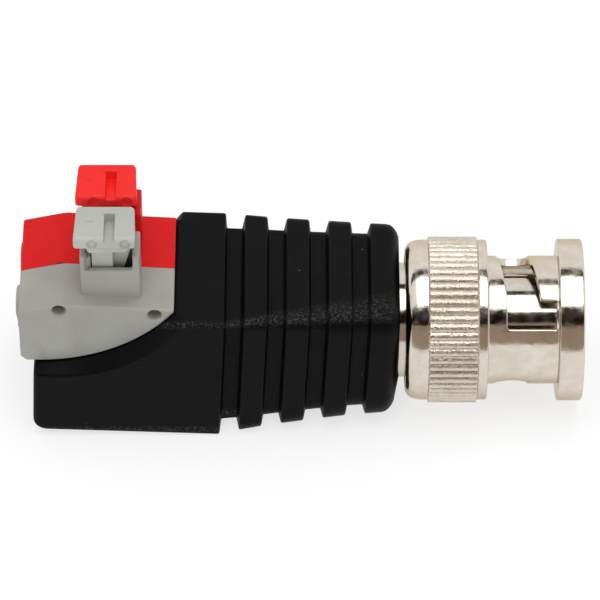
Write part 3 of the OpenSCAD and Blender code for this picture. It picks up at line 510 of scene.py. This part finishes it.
haze = shader.inputs["Roughness"].links[0].from_socket
at = add(tree, "ShaderNodeTexCoord").outputs["Object"]
along = add(tree, "ShaderNodeSeparateXYZ", {0: at}).outputs["X"]
behind = add(tree, "ShaderNodeMath", {0: along, 1: 11.28 * MM}, operation="ADD")
off = add(tree, "ShaderNodeMath", {0: behind.outputs[0]}, operation="ABSOLUTE")
rolled = add(tree, "ShaderNodeMapRange", {"Value": off.outputs[0], "From Min": 2.0 * MM, "From Max": 2.25 * MM,
                                          "To Min": 0.14, "To Max": 0.0})
rougher = add(tree, "ShaderNodeMath", {0: haze, 1: rolled.outputs[0]}, operation="ADD")
tree.links.new(rougher.outputs[0], shader.inputs["Roughness"])
swell = shader.inputs["Normal"].links[0].from_socket
nicks = add(tree, "ShaderNodeTexNoise", {"Vector": at, "Scale": 1 / (0.15 * MM), "Detail": 2.0})
depth = add(tree, "ShaderNodeMath", {0: nicks.outputs["Fac"], 1: rolled.outputs[0]}, operation="MULTIPLY")
torn = add(tree, "ShaderNodeBump", {"Height": depth.outputs[0], "Strength": 1.0, "Distance": 0.5 * MM, "Normal": swell})
tree.links.new(torn.outputs[0], shader.inputs["Normal"])
dress(joined(nut, "DIFFERENCE", cutters), nut_nickel, "nut", ["coupling_nut"])


# Shell: one moulding in matt black plastic, a square box that runs into a round-cornered nose through three ribs.
# The tool was spark eroded, so its faces are grainy, and dust has settled on it. A lighter, speckled band of colour
# along its near corners is a painted highlight.
def moulded(name, tones, cloud_mm, grain_mm, grain_depth, edge_mm, **sockets):
    """An injection-moulded plastic: two near tones in soft clouds, the tool's fine grain as a bump, and edges that
    take the light as if they were rounded. Gives the material, its tree, shader, place and tone."""
    made, tree, shader = principled(name, **sockets)
    at = add(tree, "ShaderNodeTexCoord").outputs["Object"]
    cloud = add(tree, "ShaderNodeTexNoise", {"Vector": at, "Scale": 1 / (cloud_mm * MM), "Detail": 3.0})
    share = add(tree, "ShaderNodeMapRange", {"Value": cloud.outputs["Fac"], "From Min": 0.3, "From Max": 0.7})
    tone = add(tree, "ShaderNodeMix", {"Factor": share.outputs[0], "A": linear(tones[0]), "B": linear(tones[1])},
               data_type="RGBA")
    tree.links.new(tone.outputs["Result"], shader.inputs["Base Color"])
    rim = add(tree, "ShaderNodeBevel", {"Radius": edge_mm * MM}, samples=6)
    fine = add(tree, "ShaderNodeTexNoise", {"Vector": at, "Scale": 1 / (grain_mm * MM), "Detail": 2.0})
    skin_bump = add(tree, "ShaderNodeBump", {"Height": fine.outputs["Fac"], "Strength": 1.0,
                                             "Distance": grain_depth * MM, "Normal": rim.outputs[0]})
    tree.links.new(skin_bump.outputs[0], shader.inputs["Normal"])
    return made, tree, shader, at, tone


SHELL_FRONT, BOX_FRONT, BOX_REAR = 15.95, 31.15, 47.6
BLOCK_FRONT, BLOCK_REAR, BLOCK_HALF = 35.35, 48.7, 5.8
LEAN = math.tan(math.radians(2.5))
NOSE = 1.25
groove_at = np.arange(4)
front_of_groove = 18.9 + groove_at * 3.65
rear_of_groove = front_of_groove + 1.3
depth_front = 1.0 - 0.3 * (BOX_FRONT - front_of_groove) / (BOX_FRONT - SHELL_FRONT)
depth_rear = 1.0 - 0.3 * (BOX_FRONT - rear_of_groove) / (BOX_FRONT - SHELL_FRONT)
grooves = np.stack([
    np.stack([front_of_groove - 0.26, 0 * depth_front], axis=1), np.stack([front_of_groove, depth_front], axis=1),
    np.stack([rear_of_groove, depth_rear], axis=1), np.stack([rear_of_groove + 0.16, 0 * depth_rear], axis=1),
], axis=1).reshape(-1, 2)
outline = np.concatenate([[(SHELL_FRONT, 9.0), (SHELL_FRONT + NOSE, 0.0)], grooves, [(34.0, 0.0), (34.0, 9.0)]])
outline_radii = np.concatenate([[0, 0], np.tile([0.22, 0.1, 0.1, 0.22], 4), [0, 0]])
ribs = rounded(outline, outline_radii, 4)[5 : -10]
bend = np.linspace(np.pi / 2, 0, 9)[1:-1]
nose = np.stack([SHELL_FRONT + NOSE * (1 - np.sin(bend)), 1.9 * (1 - np.cos(bend))], axis=1)
nose = nose[nose[:, 1] < 1.1]
seat_run = np.arange(34.2, BOX_REAR - 1.4, 0.3)
heel_run = BOX_REAR - 1.3 * (1 - np.sin(np.linspace(0, np.pi / 2, 12)))
stations = np.concatenate([nose, ribs, np.stack([seat_run, 0 * seat_run], axis=1),
                           np.stack([heel_run, 0 * heel_run], axis=1)])
d, inset = stations[:, 0], stations[:, 1]
run = np.clip((BOX_FRONT - d) / (BOX_FRONT - SHELL_FRONT), 0, 1)
taper = run**0.72
under = np.clip(1.35 * run, 0, 1) ** 0.85
rear_edge = 0.4 * (1 - np.sqrt(1 - np.clip((d - BOX_REAR + 0.43) / 0.43, 0, 1) ** 2))
heel = 1.3 * (1 - np.sqrt(1 - np.clip((d - BOX_REAR + 1.3) / 1.3, 0, 1) ** 2))
inset = inset + rear_edge
lift = np.clip(d - BOX_FRONT, 0, None) * LEAN
wide = 7.1 - 0.6 * taper - inset
top = 6.3 - 0.15 * taper - inset + lift
bottom = -7.3 + 0.75 * under + inset + np.maximum(heel - rear_edge, 0) + lift
corner = np.maximum(0.25, 0.45 + 2.95 * taper - inset)


def belly(place):
    """Height of the seat under the block at a place: flat at the rear, then an arc of radius 14.6 that rises."""
    return 0.7 + 14.6 - np.sqrt(14.6**2 - np.clip(47.0 - place, 0, 14.5) ** 2)


def rim(place):
    """Height of the shell's outer rim beside the seat at a place, an arc of radius 11."""
    return 0.2 + 11 - np.sqrt(11**2 - np.clip(45.0 - place, -4, 10.9) ** 2)


seat_in = belly(d - 3 * LEAN)
seat_in = np.minimum(belly(d - seat_in * LEAN) - rear_edge, top)
seat_out = np.minimum(rim(np.minimum(d, BOX_REAR)) - rear_edge, seat_in)
fold = np.minimum(BLOCK_HALF + 0.1, wide - 1.2 * corner)
ring = np.stack([
    np.stack([wide, bottom], -1), np.stack([wide, seat_out], -1), np.stack([fold, seat_in], -1),
    np.stack([-fold, seat_in], -1), np.stack([-wide, seat_out], -1), np.stack([-wide, bottom], -1)], axis=1)
rim_r = 0.35 + (corner - 0.35) * np.clip(1 - (top - seat_out) / 0.4, 0, 1)
radii = np.stack([corner, rim_r, 0 * corner + 0.15, 0 * corner + 0.15, rim_r, corner], axis=1)
section = rounded(ring, radii, 6)
outside = np.concatenate([-d[:, None, None] + section[..., 1:] * LEAN, section], axis=-1)
angle = np.arctan2(section[0, :, 1], section[0, :, 0])
bore = np.array([(15.98, 5.14), (15.95, 5.08), (16.02, 5.02), (17.22, 5.02), (17.22, 3.72), (23.4, 3.72)])
inside = np.stack([-bore[:, :1] + 0 * angle, bore[:, 1:] * np.cos(angle), bore[:, 1:] * np.sin(angle)], axis=-1)
shell = skin("shell_moulded", np.concatenate([outside[::-1], inside]))
well = prism("well", [(-44.8, -5.0), (-36.95, -5.0), (-36.95, 5.0), (-44.8, 5.0)], -4.6, 12, (0.1, 0), 2, 0.5)
duct = prism("duct", [(-3.9, -1.6), (3.9, -1.6), (3.9, 1.6), (-3.9, 1.6)], -37.5, -23.3, (0, 0), 0, 0.3)
matt_black, tree, shader, at, tone = moulded(
    "abs_black_spark_eroded", ("#070707", "#0B0B0B"), 3.0, 0.17, 0.04, 0.12,
    Roughness=0.42, IOR=1.5, Specular_IOR_Level=0.07)
specks = add(tree, "ShaderNodeTexVoronoi", {"Vector": at, "Scale": 1 / (1.7 * MM)})
small = add(tree, "ShaderNodeMapRange",
            {"Value": specks.outputs["Distance"], "From Min": 0.03, "From Max": 0.045, "To Min": 1.0, "To Max": 0.0})
some = add(tree, "ShaderNodeSeparateColor", {0: specks.outputs["Color"]})
chosen = add(tree, "ShaderNodeMath", {0: some.outputs[0], 1: 0.45}, operation="GREATER_THAN")
dust = add(tree, "ShaderNodeMath", {0: small.outputs[0], 1: chosen.outputs[0]}, operation="MULTIPLY")
# Painted highlight: a lighter, speckled band of colour along the shell's two near corners, widening towards the nose,
# stands in for the soft box's reflection on the rounded corners.
place = add(tree, "ShaderNodeSeparateXYZ", {0: at})
high = add(tree, "ShaderNodeMath", {0: place.outputs["Z"]}, operation="ABSOLUTE")
across = add(tree, "ShaderNodeMath", {0: high.outputs[0], 1: place.outputs["Y"]}, operation="ADD")
centre = add(tree, "ShaderNodeMapRange", {"Value": place.outputs["X"], "From Min": -31 * MM, "From Max": -17 * MM,
                                          "To Min": -0.6 * MM, "To Max": 1.5 * MM})
reach = add(tree, "ShaderNodeMapRange", {"Value": place.outputs["X"], "From Min": -31 * MM, "From Max": -17 * MM,
                                         "To Min": 0.5 * MM, "To Max": 1.9 * MM})
apart = add(tree, "ShaderNodeMath", {0: across.outputs[0], 1: centre.outputs[0]}, operation="SUBTRACT")
distance = add(tree, "ShaderNodeMath", {0: apart.outputs[0]}, operation="ABSOLUTE")
near_corner = add(tree, "ShaderNodeMath", {0: distance.outputs[0], 1: reach.outputs[0]}, operation="DIVIDE")
highlight_band = add(tree, "ShaderNodeMapRange", {"Value": near_corner.outputs[0], "From Min": 1.1, "From Max": 0.3})
highlight_grain = add(tree, "ShaderNodeTexNoise", {"Vector": at, "Scale": 1 / (0.2 * MM), "Detail": 4.0, "Roughness": 0.75})
bright = add(tree, "ShaderNodeMapRange", {"Value": highlight_grain.outputs["Fac"], "From Min": 0.48, "From Max": 0.7})
from_mid = add(tree, "ShaderNodeMath", {0: place.outputs["X"], 1: 31.7 * MM}, operation="ADD")
half_way = add(tree, "ShaderNodeMath", {0: from_mid.outputs[0]}, operation="ABSOLUTE")
on_side = add(tree, "ShaderNodeMapRange", {"Value": half_way.outputs[0], "From Min": 15.5 * MM, "From Max": 15.1 * MM})
speckled_highlight = add(tree, "ShaderNodeMath", {0: bright.outputs[0], 1: on_side.outputs[0]}, operation="MULTIPLY")
painted_highlight = add(tree, "ShaderNodeMath", {0: highlight_band.outputs[0], 1: speckled_highlight.outputs[0]}, operation="MULTIPLY")
with_painted_highlight = add(tree, "ShaderNodeMix", {"Factor": painted_highlight.outputs[0], "A": tone.outputs["Result"], "B": linear("#505050")},
           data_type="RGBA")
dusty = add(tree, "ShaderNodeMix", {"Factor": dust.outputs[0], "A": with_painted_highlight.outputs["Result"], "B": linear("#6B6B69")},
            data_type="RGBA")
tree.links.new(dusty.outputs["Result"], shader.inputs["Base Color"])
dress(joined(shell, "DIFFERENCE", [well, duct]), matt_black, "housing", ["shell"])


# Terminal block: two like modules side by side, grey and red, and a red end plate that closes the second. Each is
# a satin moulding with a tall guide frame for its button, and a lip round its wire entry at the rear.
def block_side():
    """Side view of a module: a flat sole, an arc of radius 14.6 up to the front, and a roof with a soft crease. Gives
    its corners and their radii."""
    back = np.linspace(0, 47.0 - BLOCK_FRONT, 24)
    arc = np.stack([-47.0 + back, 0.8 + 14.6 - np.sqrt(14.6**2 - back**2)], axis=1)
    corners = np.concatenate([[(-BLOCK_REAR, 1.3), (-48.2, 0.8)], arc,
                              [(-BLOCK_FRONT, 6.9), (-44.95, 7.55), (-BLOCK_REAR, 6.62)]])
    return corners, np.concatenate([[0.3, 0.3], np.full(23, 14.6), [0.12, 0.2, 2.5, 0.3]])


BUTTON_X, BUTTON_OFF, WIRE_Z = -41.4, 2.95, 4.2
FRAME_X, FRAME_LEN, FRAME_HIGH, FRAME_LOW = -43.3, 5.1, 12.05, 10.35
block_loop, block_radii = block_side()


def module(name, y0, soft, lip_out):
    """One terminal module from its near side at y0: block, guide frame and wire lip joined, then its holes cut."""
    y = y0 + BUTTON_OFF
    block = prism(name, block_loop, y0, y0 + 5.2, soft, 1, block_radii)
    x0, x1 = FRAME_X, FRAME_X + FRAME_LEN
    frame_side = np.array([
        (x0, 6.04), (x1, 6.04), (x1, FRAME_HIGH), (x1 - 0.61, FRAME_HIGH), (x1 - 0.61, FRAME_LOW),
        (x0 + 0.61, FRAME_LOW), (x0 + 0.61, FRAME_HIGH), (x0, FRAME_HIGH)])
    frame_radii = np.array([0.02, 0.02, 0.22, 0.2, 0.4, 0.4, 0.2, 0.22])
    guide = prism("guide", frame_side, y - 1.6, y + 1.6, (0.14, 0.14), 1, frame_radii)
    lip_side = np.array([(-1.55, -1.75), (1.55, -1.75), (1.55, 1.75), (-1.55, 1.75)]) + [y, WIRE_Z + 0.35]
    lip = prism("lip", lip_side, -BLOCK_REAR - lip_out, -BLOCK_REAR + 0.6, (0.8 * lip_out, 0), 0, 1.5, 8)
    joined(block, "UNION", [guide, lip])
    hole = np.array([(x0 + 0.46, y - 1.14), (x1 - 0.61, y - 1.14), (x1 - 0.61, y + 1.14), (x0 + 0.46, y + 1.14)])
    window = prism("window", hole, 5.54, 15, (0, 0), 2, 0.12)
    room = [(-46.4, 1.7), (-39.85, 1.7), (-38.25, 3.3), (-38.25, 6.04), (-46.4, 6.04)]
    cavity = prism("cavity", room, y0 + 1.2, y0 + 4.35, (0, 0), 1, 0.15)
    mouth = rod("mouth", np.array([(50.0, 2.2), (49.1, 1.68), (49.0, 1.6), (48.4, 1.3), (46.0, 1.3)]), 64)
    points = np.array([v.co for v in mouth.data.vertices])
    mouth.data.vertices.foreach_set("co", (points + np.array([0, y, WIRE_Z]) * MM).ravel())
    tang = [(-39.22, y - 0.52), (-38.58, y - 0.52), (-38.58, y + 0.52), (-39.22, y + 0.52)]
    slot = prism("slot", tang, -0.5, 2.7, (0, 0), 2)
    pegs = []
    angle = np.linspace(0, 2 * np.pi, 48, endpoint=False)
    for x, z in ((-45.2, 6.83), (-37.0, 6.3)):
        deep = np.array([(-0.3, 0.95), (0.0, 0.72), (0.06, 0.635), (0.14, 0.59), (0.3, 0.57), (3.0, 0.55)])
        rings = np.stack([x + deep[:, 1:] * np.cos(angle), y0 + deep[:, :1] + 0 * angle,
                          z + deep[:, 1:] * np.sin(angle)], axis=-1)
        pegs.append(skin("peg", rings))
    near_end = [(x0 + 0.28, y - 1.8), (x0 + 0.8, y - 1.8), (x0 + 0.8, y - 1.0), (x0 + 0.62, y - 1.0)]
    thinned = prism("thinned", near_end, FRAME_LOW + 0.02, 13, (0, 0), 2)
    joined(block, "DIFFERENCE", [window, cavity, mouth, slot, thinned] + pegs)
    cheek = [(x0 + 0.3, y - 1.35), (x0 + 0.42, y - 1.4), (x0 + 0.9, y - 0.95), (x0 + 0.9, y + 0.9), (x0 + 0.3, y + 0.9)]
    return joined(block, "UNION", [prism("cheek", cheek, 8.5, 11.5, (0, 0.05), 2, 0.06)])


satin_grey, *_ = moulded("polyamide_light_grey", ("#9C9B93", "#A6A59E"), 3.5, 0.07, 0.004, 0.12,
                         Roughness=0.42, IOR=1.5, Specular_IOR_Level=0.35)
satin_red, *_ = moulded("polyamide_red", ("#D41313", "#DB1818"), 3.5, 0.07, 0.004, 0.12,
                        Roughness=0.42, IOR=1.5, Specular_IOR_Level=0.15)
dress(module("terminal_grey_moulded", -5.8, (0.2, 0.06), 0.3), satin_grey, "housing", ["terminal_grey"])
dress(module("terminal_red_moulded", -0.6, (0.06, 0.03), 0.1), satin_red, "housing", ["terminal_red"])
plate = prism("end_plate_moulded", block_loop, 4.6, 5.8, (0.03, 0.2), 1, block_radii)
dress(plate, satin_red, "housing", ["end_plate"])


# Leaf springs, contacts and leads inside: the leaves are bent from spring steel strip and give way under the
# buttons. The tinned brass bars and bare copper leads are plain strip and wire, so they keep the solids' shapes.
def finish_node(node, material):
    """Puts one material on a CAD node that keeps its shape."""
    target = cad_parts[node]
    target.data.materials.clear()
    target.data.materials.append(material)


LEAF_T, LEAF_R, LEAF_LOW = 0.25, 0.625, 1.72
bend = np.radians(np.linspace(-90, 114, 17))
leaf_line = np.concatenate([
    [(-44.0, LEAF_LOW + LEAF_T / 2)],
    np.stack([-40.116 + LEAF_R * np.cos(bend), LEAF_LOW + LEAF_T / 2 + LEAF_R * (1 + np.sin(bend))], axis=1),
    [(-44.88, 5.34)]])
along = np.gradient(leaf_line, axis=0)
off = np.stack([-along[:, 1], along[:, 0]], axis=1) / np.linalg.norm(along, axis=1)[:, None] * LEAF_T / 2
leaf_side = np.concatenate([leaf_line + off, (leaf_line - off)[::-1]])
for colour, y0, joint in (("grey", -5.8, "grey_press"), ("red", -0.6, "red_press")):
    y = y0 + BUTTON_OFF
    leaf = prism("leaf_spring_" + colour + "_bent", leaf_side, y - 1.1, y + 1.1, (0.02, 0.02), 1)
    dress(leaf, steel, "housing", ["clamp_spring_" + colour])
    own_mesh(leaf)

for nodes, name, tones, span in (
    (("contact_bar_grey", "contact_bar_red"), "tin_on_brass_strip", ("#A99F86", "#C3BBA4"), (0.25, 0.45)),
    (("lead_centre", "lead_ground"), "bare_copper_wire", ("#9A5A34", "#B97447"), (0.2, 0.42)),
):
    metal, tree, shader = principled(name, Metallic=1.0)
    at = add(tree, "ShaderNodeTexCoord").outputs["Object"]
    cloud = add(tree, "ShaderNodeTexNoise", {"Vector": at, "Scale": 1 / (0.8 * MM), "Detail": 4.0})
    tint = add(tree, "ShaderNodeMix", {"Factor": cloud.outputs["Fac"], "A": linear(tones[0]),
                                       "B": linear(tones[1])}, data_type="RGBA")
    tree.links.new(tint.outputs["Result"], shader.inputs["Base Color"])
    haze = add(tree, "ShaderNodeMapRange", {"Value": cloud.outputs["Fac"], "To Min": span[0], "To Max": span[1]})
    tree.links.new(haze.outputs[0], shader.inputs["Roughness"])
    for node in nodes:
        finish_node(node, metal)


# Push buttons: one moulding each, a finger pad with a groove and two ejector marks on a neck that slides in the
# guide frame, with a brace behind it, a lip under the pad and a foot on the leaf.
PAD_TOP, PAD_THICK = 14.96, 1.12
FOOT_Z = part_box("button_grey")[0].z / MM + 0.4


def push_button(name, y0, sign):
    """One button from its module's near side at y0, with a raised bar on its pad for the pole's sign, or a cross."""
    y = y0 + BUTTON_OFF
    side = 0.12
    level = np.linspace(0, np.pi / 2, 5)
    heights = np.concatenate([PAD_TOP - PAD_THICK + 0.12 * (1 - np.cos(level)), [PAD_TOP - 0.4],
                              PAD_TOP - 0.4 * (1 - np.sin(level[1:]))])
    shrink = np.concatenate([0.12 * (1 - np.sin(level)), [0.0], 0.12 * (1 - np.cos(level[1:]))])
    shrink_near = np.concatenate([0.12 * (1 - np.sin(level)), [0.0], 0.4 * (1 - np.cos(level[1:]))])
    x_mid, y_mid = BUTTON_X + 0.3, y - 0.5
    near, far = y_mid - 2.0 + shrink_near, y_mid + 2.1 - shrink
    wide_near, wide_far = 2.66 - shrink, 2.48 - shrink
    plan = np.stack([
        np.stack([x_mid - wide_near, near], -1), np.stack([x_mid + wide_near, near], -1),
        np.stack([x_mid + wide_far, far], -1), np.stack([x_mid - wide_far, far], -1)], axis=1)
    loops = rounded(plan, 0.35 + 0 * plan[..., 0], 6)
    pad = skin(name, np.concatenate([loops, heights[:, None, None] + 0 * loops[..., :1]], axis=-1))

    def side_piece(corners, radius, y_low, y_high, soft):
        return prism("part", np.array(corners) + [BUTTON_X, 0], y_low, y_high, (soft, soft), 1, radius)

    under = PAD_TOP - PAD_THICK
    lip = side_piece([(-1.33, under + 0.3), (2.5, under + 0.3), (2.45, under), (2.2, under - 0.62),
                      (-1.08, under - 0.72), (-1.33, under - 0.1)], 0.3, y_mid - 1.85, y_mid + 1.2, 0.2)
    neck = side_piece([(-0.92, FOOT_Z), (0.92, FOOT_Z), (0.92, under + 0.2), (-0.92, under + 0.2)], 0.08,
                      y - 0.94, y + 0.94, 0.1)
    brace = side_piece([(-0.8, FRAME_LOW - 1.0), (0, FRAME_LOW - 2.2), (1.69, FRAME_LOW - 1.3), (2.49, FRAME_HIGH),
                        (2.49, under + 0.2), (-0.8, under + 0.2)], 0.25, y - 0.34, y + 0.94, 0.06)
    foot = side_piece([(-1.9, FOOT_Z), (0.2, FOOT_Z - 0.4), (1.2, FOOT_Z), (1.2, 6.02), (-1.9, 6.02)], 0.1,
                      y0 + 1.35, y0 + 4.2, 0.05)
    mark_x, mark_y, thick = x_mid - 1.35, y_mid + 0.25, 0.09
    bars = [(0.3, thick)] + ([(thick, 0.3)] if sign > 0 else [])
    marks = [prism("mark", np.array([(-a, -b), (a, -b), (a, b), (-a, b)]) + [mark_x, mark_y],
                   PAD_TOP - 0.3, PAD_TOP + 0.08, (0, 0.04), 2) for a, b in bars]
    x_groove = x_mid + 0.4
    stop = np.array([(-0.62, 0.95), (0.62, 0.95), (0.7, 1.25), (0.25, 1.42), (-0.25, 1.42), (-0.7, 1.25)])
    marks.append(prism("stop", stop + [x_groove, y_mid], PAD_TOP - 0.3, PAD_TOP + 0.09, (0, 0.08), 2, 0.1))
    joined(pad, "UNION", [lip, neck, brace, foot] + marks)
    trough = np.array([(-0.45, -3.0), (0.45, -3.0), (0.45, 1.1), (-0.45, 1.1)]) + [x_groove, y_mid]
    groove = prism("groove", trough, PAD_TOP - 0.9, PAD_TOP + 0.5, (0.1, 0), 2, 0.12)
    points = np.array([v.co for v in groove.data.vertices]) / MM
    points[:, 2] += np.where(points[:, 2] < PAD_TOP, 0.65 * np.clip((y_mid + 0.9 - points[:, 1]) / 2.9, 0, 1), 0)
    groove.data.vertices.foreach_set("co", (points * MM).ravel())
    tools = [groove]
    angle = np.linspace(0, 2 * np.pi, 40, endpoint=False)
    for x in (x_mid - 1.05, x_mid + 1.75):
        deep = np.array([(-2.6, 0.45), (-1.95 + 0.08, 0.45), (-1.95 + 0.14, 0.4)])
        tools.append(skin("ejector", np.stack(
            [x + deep[:, 1:] * np.cos(angle), y_mid + deep[:, :1] + 0 * angle,
             PAD_TOP - 0.62 + deep[:, 1:] * np.sin(angle)], axis=-1)))
    return joined(pad, "DIFFERENCE", tools)


# Painted light: the buttons take the modules' grey and red made lighter, standing in for the fuller light on the pads
# than on the blocks below them.
pad_grey, *_ = moulded("polyamide_grey_painted_lighter", ("#B3B4AD", "#BBBBB5"), 3.0, 0.07, 0.004, 0.1,
                       Roughness=0.4, IOR=1.5, Specular_IOR_Level=0.35)
pad_red, *_ = moulded("polyamide_red_painted_lighter", ("#F02B29", "#F6312F"), 3.0, 0.07, 0.004, 0.1,
                      Roughness=0.4, IOR=1.5, Specular_IOR_Level=0.15)
dress(push_button("button_grey_moulded", -5.8, -1), pad_grey, "grey_button", ["button_grey"])
dress(push_button("button_red_moulded", -0.6, 1), pad_red, "red_button", ["button_red"])
